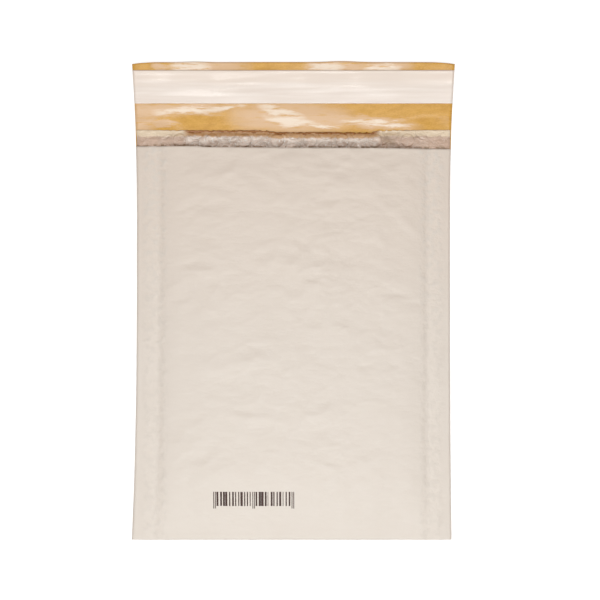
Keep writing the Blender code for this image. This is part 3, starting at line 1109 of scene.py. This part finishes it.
def white_paper():
    material, tree, shader = new_material("white_paper", 0.6, Specular_IOR_Level=0.3)
    fibre = place_group(tree, fibre_group).outputs
    x, y, _ = object_axes(tree)
    color = blend_colors(tree, fibre["Cloud"], WHITE, WHITE_SHADE)
    # Painted warm shade: warmer towards the top, standing in for the warm fill light there.
    color = blend_colors(tree, ramp(tree, y, WARM_SHADE_FROM, WARM_SHADE_TO), color, WHITE_WARM_SHADE)
    weld = noise_texture(tree, (1, 1, 1), Scale=230.0, Detail=2.0)
    welded = stretch_mask(tree, calculate(tree, "ABSOLUTE", x), WELD_FROM, WELD_TO, WELD_RUN)
    marks = times(tree, welded, weld)
    blotches = times(tree, welded, ramp(tree, weld, *WELD_BLOTCH))
    color = blend_colors(tree, blotches, color, WHITE_WELD)
    color = blend_colors(tree, printed_bars(tree), color, INK)
    roughen(tree, shader, fibre["Cloud"], *WHITE_ROUGH)
    relief = linear(tree, fibre["Fibre"], FIBRE_RELIEF, fibre["Cockle"])
    relief = linear(tree, marks, WELD_RELIEF, relief)
    finish_surface(tree, shader, color, relief, WHITE_RELIEF)
    return material


# %% Brown kraft with its sealing film
KRAFT = (0.79, 0.46, 0.105)
KRAFT_DARK = (0.65, 0.345, 0.06)
# Pale patches are partly loose film and partly painted sheen; the glare colour is a painted
# highlight.
KRAFT_LOOSE_AND_SHEEN = (0.79, 0.535, 0.31)
KRAFT_GLARE = (0.97, 0.84, 0.69)
LOOSE_AND_SHEEN_PATCHES = in_metres((  # middle x and y, length, width and bearing
    (-2, 123.5, 78, 22, -2),
    (-76, 129.5, 86, 9.5, 4),
    (-102, 124, 18, 24, 0),
    (46, 121, 72, 8, -5),
    (-88, 119.5, 22, 4.5, 0),
    (-56, 158.5, 50, 12, 0),
    (30, 158.5, 40, 12, 0),
    (64, 158.5, 32, 12, 0),
    (-90, 158.5, 12, 3, -8),
), 4)
GLARE_PATCHES = in_metres((
    (-8, 127.5, 30, 4.6, -14),
    (-2, 121.5, 34, 6, -10),
    (10, 118.5, 40, 3, -3),
    (57, 120.2, 44, 3.4, -4),
    (-70, 128.6, 44, 4.6, 3),
    (-46, 130.5, 26, 3, 7),
    (-70, 158.5, 25, 11, 0),
    (22, 157.5, 24, 6, 0),
    (60, 157, 24, 6, 3),
), 4)
PATCH_RAGGED = 7 * MM
RAGGED_GLARE = 6 * MM
MOTTLE_FIBRE = 1.2
MOTTLE = (0.75, 1.45)
LOOSE_AND_SHEEN_STREAK = (0.2, 0.46)
GLARE_STREAK = (0.3, 0.56)
KRAFT_ROUGH = (0.35, 0.3)
KRAFT_RELIEF, KRAFT_BUMP = 0.12 * MM, 0.6


def patches(tree, places, ragged):
    """1 inside any of the patches."""
    mask = None
    for x, y, length, width, bearing in places:
        node = place_group(tree, ragged_patch_group)
        values = (x, y, length, width, math.radians(bearing), ragged)
        for socket, value in zip(node.inputs, values):
            socket.default_value = value
        found = node.outputs["Mask"]
        mask = found if mask is None else larger(tree, mask, found)
    return mask


def brown_kraft():
    material, tree, shader = new_material(
        "brown_kraft", 0.5, Specular_IOR_Level=0.0, Coat_Weight=0.5, Coat_Roughness=0.16)
    fibre = place_group(tree, fibre_group).outputs
    mottle = linear(tree, fibre["Fibre"], MOTTLE_FIBRE, fibre["Cockle"])
    color = blend_colors(tree, ramp(tree, mottle, *MOTTLE), KRAFT, KRAFT_DARK)
    streak = noise_texture(tree, (0.12, 1, 1), Scale=620.0, Detail=4.0, Roughness=0.6)
    # Pale patches: partly film come loose from the kraft, partly painted sheen of the glossy coat.
    haze = patches(tree, LOOSE_AND_SHEEN_PATCHES, PATCH_RAGGED)
    haze = times(tree, haze, ramp(tree, streak, *LOOSE_AND_SHEEN_STREAK))
    color = blend_colors(tree, haze, color, KRAFT_LOOSE_AND_SHEEN)
    # Glare patches: painted highlights where the glossy coat would mirror the lamps.
    glare = patches(tree, GLARE_PATCHES, RAGGED_GLARE)
    glare = times(tree, glare, ramp(tree, streak, *GLARE_STREAK))
    color = blend_colors(tree, glare, color, KRAFT_GLARE)
    crumple = place_group(tree, crumple_group).outputs
    roughen(tree, shader, crumple["Haze"], *KRAFT_ROUGH)
    finish_surface(tree, shader, color, crumple["Haze"], KRAFT_RELIEF, KRAFT_BUMP)
    return material


# %% Release liner
LINER_COLOR = (0.885, 0.81, 0.745)
LINER_SHADE = (0.81, 0.72, 0.645)
LINER_ROSY = (0.83, 0.725, 0.635)
ROSY_FROM = 147 * MM
ROSY_TO = 153 * MM
ROSY_WAVER = 5 * MM
LINER_STREAK = (0.25, 0.75)
LINER_ROUGH = (0.3, 0.2)
LINER_RELIEF, LINER_BUMP = 0.05 * MM, 0.5


def release_paper():
    material, tree, shader = new_material(
        "release_paper", 0.4, Coat_Weight=1.0, Coat_Roughness=0.15)
    streak = noise_texture(tree, (0.06, 1, 1), Scale=380.0, Detail=3.0)
    color = blend_colors(tree, ramp(tree, streak, *LINER_STREAK), LINER_COLOR, LINER_SHADE)
    y = linear(tree, streak, ROSY_WAVER, object_axes(tree)[1])
    color = blend_colors(tree, ramp(tree, y, ROSY_FROM, ROSY_TO), color, LINER_ROSY)
    roughen(tree, shader, streak, *LINER_ROUGH)
    finish_surface(tree, shader, color, streak, LINER_RELIEF, LINER_BUMP)
    return material


# %% [markdown]
# The film is clear but crumpled, so its haze half hides what lies under it. Its creases and the
# weld lines round the bubbles are pale, and small glints lie between the seams. The strip that
# is pressed flat along the cut edge is tan, partly kraft seen through the film and partly painted
# shade; its pale ends carry painted glare, and it ends in a thin painted shadow line. A broken
# painted shadow line runs where the film goes under the lip, and a patch of painted shade lies in
# a gap between bubbles towards the right.

# %% Bubble film
FILM_COLOR = (0.93, 0.79, 0.69)
FILM_DARK = (0.64, 0.49, 0.39)
FILM_PALE = (0.98, 0.93, 0.86)
FILM_GLINT = (1.0, 0.97, 0.93)
# The tan and pale end colours of the cut-edge strip are partly painted shade and painted glare; the
# line colour is a painted shadow.
FILM_TAN_AND_SHADE = (0.63, 0.33, 0.10)
FILM_END_AND_GLARE = (0.98, 0.83, 0.61)
FILM_SHADOW_LINE = (0.38, 0.14, 0.02)
FILM_SEALED = (0.66, 0.46, 0.34)
# Painted shade, used for the spot in a bubble gap and for the shadow of the lip.
FILM_PAINTED_SHADE = (0.36, 0.24, 0.14)
SEALED_START = 86 * MM
SEALED_RUN = 6 * MM
TAN_FROM = -70 * MM
TAN_TO = 54 * MM
EDGE_ZONE = 4.4 * MM
EDGE_SHADOW_LINE = 1.3 * MM
LIP_SHADOW_LINE = 2.1 * MM
ZONE_SOFT = 0.9 * MM
LINE_BEFORE, LINE_AFTER = 0.6 * MM, 0.2 * MM
EDGE_WOBBLE = 5 * MM
TAN_RUN = 6 * MM
LIP_SHADOW_BREAKS = (0.45, 0.56)
# A patch of painted shade in a gap between bubbles.
SHADE_SPOTS = in_metres(((64, 107.8, 11, 5, -20),), 4)
SHADE_SPOT_RAGGED = 5 * MM
CONTRAST, CONTRAST_START = 3.0, -0.95
SIDE_SHARE = 0.75
SEALED_SHARE = 0.85
SHADE_SPOT_SHARE = 0.6
LIP_SHADOW_SHARE = 0.85
ZONE_SHARE = 0.85
RING_SHARE = 0.8
MARK_SHARE = 0.45
MARK_ALPHA = 0.85
ZONE_ALPHA = 0.9
RING_RELIEF, HAZE_RELIEF = -0.3, 0.5
FILM_RELIEF = 0.9 * MM


def limited(tree, value):
    return calculate(tree, "MINIMUM", larger(tree, value, 0.0), 1.0)


def film_masks(tree):
    """The strip at the cut edge, its painted shadow line, the part between the seams, the sealed
    ends and the broken painted shadow line where the film goes under the lip."""
    x, y, _ = object_axes(tree)
    wobble = noise_texture(tree, (1, 0.5, 1), Scale=260.0, Detail=5.0, Roughness=0.62)
    drawn = stretch_mask(tree, x, DRAWN_FROM, DRAWN_TO, DRAWN_RUN)
    edge = linear(tree, drawn, EDGE_DRAWN, y)
    rough = times(tree, minus(tree, wobble, 0.5), EDGE_WOBBLE)
    edge = plus(tree, edge, rough)
    start = Y_BAND - EDGE_ZONE
    zone = ramp(tree, edge, start - ZONE_SOFT, start + ZONE_SOFT)
    # The thin line along the cut edge is a painted shadow.
    start = Y_BAND - EDGE_SHADOW_LINE
    line = ramp(tree, edge, start - LINE_BEFORE, start + LINE_AFTER)
    span = stretch_mask(tree, x, TAN_FROM, TAN_TO, TAN_RUN)
    sealed = ramp(tree, calculate(tree, "ABSOLUTE", x), SEALED_START, SEALED_START + SEALED_RUN)
    # A broken painted shadow line just past the lip, where the film goes under it.
    seam = WAIST_HALF - SEAM_INSET
    lean = linear(tree, x, LIP_LEAN / (2 * seam), y)
    past = linear(tree, times(tree, x, x), -LIP_SAG / (4 * seam ** 2), lean)
    lift = stretch_mask(tree, x, LIFT_FROM, LIFT_TO, LIFT_RUN)
    past = linear(tree, lift, -LIP_LIFT, past)
    lip_shadow = ramp(tree, past, Y_LIP - LIP_SAG + LIP_SHADOW_LINE, Y_LIP - LIP_SAG + 0.5 * LIP_SHADOW_LINE)
    lip_shadow = times(tree, lip_shadow, ramp(tree, wobble, *LIP_SHADOW_BREAKS))
    return zone, line, span, sealed, lip_shadow


def bubble_film(name, least, most):
    """Clear film, whose haze lets between most and least of what lies under it show."""
    material, tree, shader = new_material(name, 0.2, Specular_IOR_Level=0.7)
    crumple = place_group(tree, crumple_group).outputs
    contrast = limited(tree, linear(tree, crumple["Haze"], CONTRAST, CONTRAST_START))
    zone, line, span, sealed, lip_shadow = film_masks(tree)
    free = minus(tree, 1.0, sealed)
    ring = times(tree, place_group(tree, ring_group).outputs["Ring"], free)
    color = blend_colors(tree, contrast, FILM_DARK, FILM_COLOR)
    marks = larger(tree, crumple["Creases"], times(tree, ring, RING_SHARE))
    color = blend_colors(tree, times(tree, marks, MARK_SHARE), color, FILM_PALE)
    side = linear(tree, span, -SIDE_SHARE, SIDE_SHARE)
    side = larger(tree, side, times(tree, sealed, SEALED_SHARE))
    color = blend_colors(tree, side, color, FILM_SEALED)
    glints = times(tree, crumple["Glints"], span)
    color = blend_colors(tree, glints, color, FILM_GLINT)
    # A patch of painted shade in a gap between bubbles.
    shade_spot = times(tree, patches(tree, SHADE_SPOTS, SHADE_SPOT_RAGGED), SHADE_SPOT_SHARE)
    color = blend_colors(tree, shade_spot, color, FILM_PAINTED_SHADE)
    # The broken painted shadow of the lip.
    color = blend_colors(tree, times(tree, lip_shadow, LIP_SHADOW_SHARE), color, FILM_PAINTED_SHADE)
    # The cut-edge strip: tan that is partly painted shade, pale ends that are partly painted glare,
    # and a painted shadow line at the edge.
    rim = blend_colors(tree, span, FILM_END_AND_GLARE, FILM_TAN_AND_SHADE)
    color = blend_colors(tree, times(tree, zone, ZONE_SHARE), color, rim)
    color = blend_colors(tree, times(tree, line, span), color, FILM_SHADOW_LINE)
    alpha = linear(tree, contrast, most - least, least)
    alpha = larger(tree, alpha, times(tree, marks, MARK_ALPHA))
    alpha = larger(tree, alpha, times(tree, zone, ZONE_ALPHA))
    tree.links.new(alpha, shader.inputs["Alpha"])
    relief = linear(tree, ring, RING_RELIEF, crumple["Folds"])
    relief = linear(tree, crumple["Haze"], HAZE_RELIEF, relief)
    finish_surface(tree, shader, color, relief, FILM_RELIEF)
    return material


# %% Glue
GLUE_COLOR = (0.72, 0.62, 0.45)
GLUE_SHADE = (0.66, 0.55, 0.38)
GLUE_RELIEF, GLUE_BUMP = 0.1 * MM, 0.5


def glue_material():
    material, tree, shader = new_material("glue", 0.3)
    fibre = place_group(tree, fibre_group).outputs
    color = blend_colors(tree, fibre["Cloud"], GLUE_COLOR, GLUE_SHADE)
    finish_surface(tree, shader, color, fibre["Cloud"], GLUE_RELIEF, GLUE_BUMP)
    return material


# %% Put the materials on
SMOOTH_ALPHA = (0.74, 0.95)
DOMED_ALPHA = (0.15, 0.5)

paper.data.materials.append(white_paper())
paper.data.materials.append(brown_kraft())
liner.data.materials.append(release_paper())
glue.data.materials.append(glue_material())
smooth_material = bubble_film("smooth_film", *SMOOTH_ALPHA)
domed_material = bubble_film("domed_film", *DOMED_ALPHA)
for piece in (back_film, pouch):
    piece.data.materials.append(smooth_material)
for piece in (back_bubbles, front_bubbles):
    piece.data.materials.append(domed_material)
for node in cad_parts.values():
    node.data.materials.clear()
    node.data.materials.append(paper.data.materials[0])
print("materials:", len(bpy.data.materials))

# %% [markdown]
# ## Floor, world and lamps
# The background is plain white. The floor is a pale diffuse sheet that takes the shadow; to the
# camera it gives off a little light as well, so that its lit part is white and only the shadow
# is darker. A soft key lamp stands towards the bottom of the envelope, and a narrow strip lamp
# beyond the flap is there for the gloss of the film.

# %% Floor
FLOOR_SIZE = 6.0
FLOOR_GLOW = 0.5
FLOOR_COLOR = (0.85, 0.85, 0.85, 1)
FLOOR_DROP = 0.0002


def floor_material():
    material = bpy.data.materials.new("floor")
    material.use_nodes = True
    tree = material.node_tree
    tree.nodes.clear()
    out = tree.nodes.new("ShaderNodeOutputMaterial")
    diffuse = tree.nodes.new("ShaderNodeBsdfDiffuse")
    diffuse.inputs["Color"].default_value = FLOOR_COLOR
    glow = tree.nodes.new("ShaderNodeEmission")
    path = tree.nodes.new("ShaderNodeLightPath")
    strength = times(tree, path.outputs["Is Camera Ray"], FLOOR_GLOW)
    tree.links.new(strength, glow.inputs["Strength"])
    both = tree.nodes.new("ShaderNodeAddShader")
    tree.links.new(diffuse.outputs[0], both.inputs[0])
    tree.links.new(glow.outputs[0], both.inputs[1])
    tree.links.new(both.outputs[0], out.inputs["Surface"])
    return material


bpy.ops.mesh.primitive_plane_add(size=FLOOR_SIZE, location=(0, 0, 0))
floor = bpy.context.object
floor.name = "floor"
floor.location.z = -FLOOR_DROP
floor.data.materials.append(floor_material())

# %% World
AMBIENT = (0.41, 0.36, 0.325)


def make_world():
    world = bpy.data.worlds.new("studio")
    world.use_nodes = True
    tree = world.node_tree
    light = tree.nodes["Background"]
    light.inputs["Color"].default_value = (*AMBIENT, 1)
    white = tree.nodes.new("ShaderNodeBackground")
    white.inputs["Color"].default_value = (1, 1, 1, 1)
    path = tree.nodes.new("ShaderNodeLightPath")
    seen = path.outputs["Is Camera Ray"]
    for ray in ("Is Transmission Ray", "Is Glossy Ray"):
        seen = larger(tree, seen, path.outputs[ray])
    mixer = tree.nodes.new("ShaderNodeMixShader")
    tree.links.new(seen, mixer.inputs[0])
    tree.links.new(light.outputs[0], mixer.inputs[1])
    tree.links.new(white.outputs[0], mixer.inputs[2])
    tree.links.new(mixer.outputs[0], tree.nodes["World Output"].inputs["Surface"])
    bpy.context.scene.world = world


make_world()


# %% Lamps
def area_lamp(name, place, aim, size, power, color):
    lamp = bpy.data.lights.new(name, "AREA")
    lamp.shape = "RECTANGLE"
    lamp.size, lamp.size_y = size
    lamp.energy = power
    lamp.color = color
    holder = bpy.data.objects.new(name, lamp)
    holder.location = place
    holder.rotation_euler = (Vector(aim) - Vector(place)).to_track_quat("-Z", "Y").to_euler()
    holder.visible_camera = False
    add_to_scene(holder)


area_lamp("key", (0.0, -0.47, 0.74), (0, -0.04, 0), (0.45, 0.25), 3.2, (0.9, 0.97, 1.0))
area_lamp("left", (-0.62, -0.05, 0.55), (0, 0, 0), (0.3, 0.6), 0.4, (1.0, 0.97, 0.94))
area_lamp("right", (0.62, -0.05, 0.55), (0, 0, 0), (0.3, 0.6), 0.4, (1.0, 0.97, 0.94))
area_lamp("overhead", (0.0, 0.1, 1.5), (0, 0.1, 0), (0.9, 0.9), 2.2, (1.0, 0.99, 0.98))
area_lamp("gloss_strip", (0.0, 0.258, 1.0), (0, 0.12, 0), (0.7, 0.03), 0.9, (1.0, 0.98, 0.97))

# %% Picture settings
bpy.context.scene.view_settings.view_transform = "Standard"
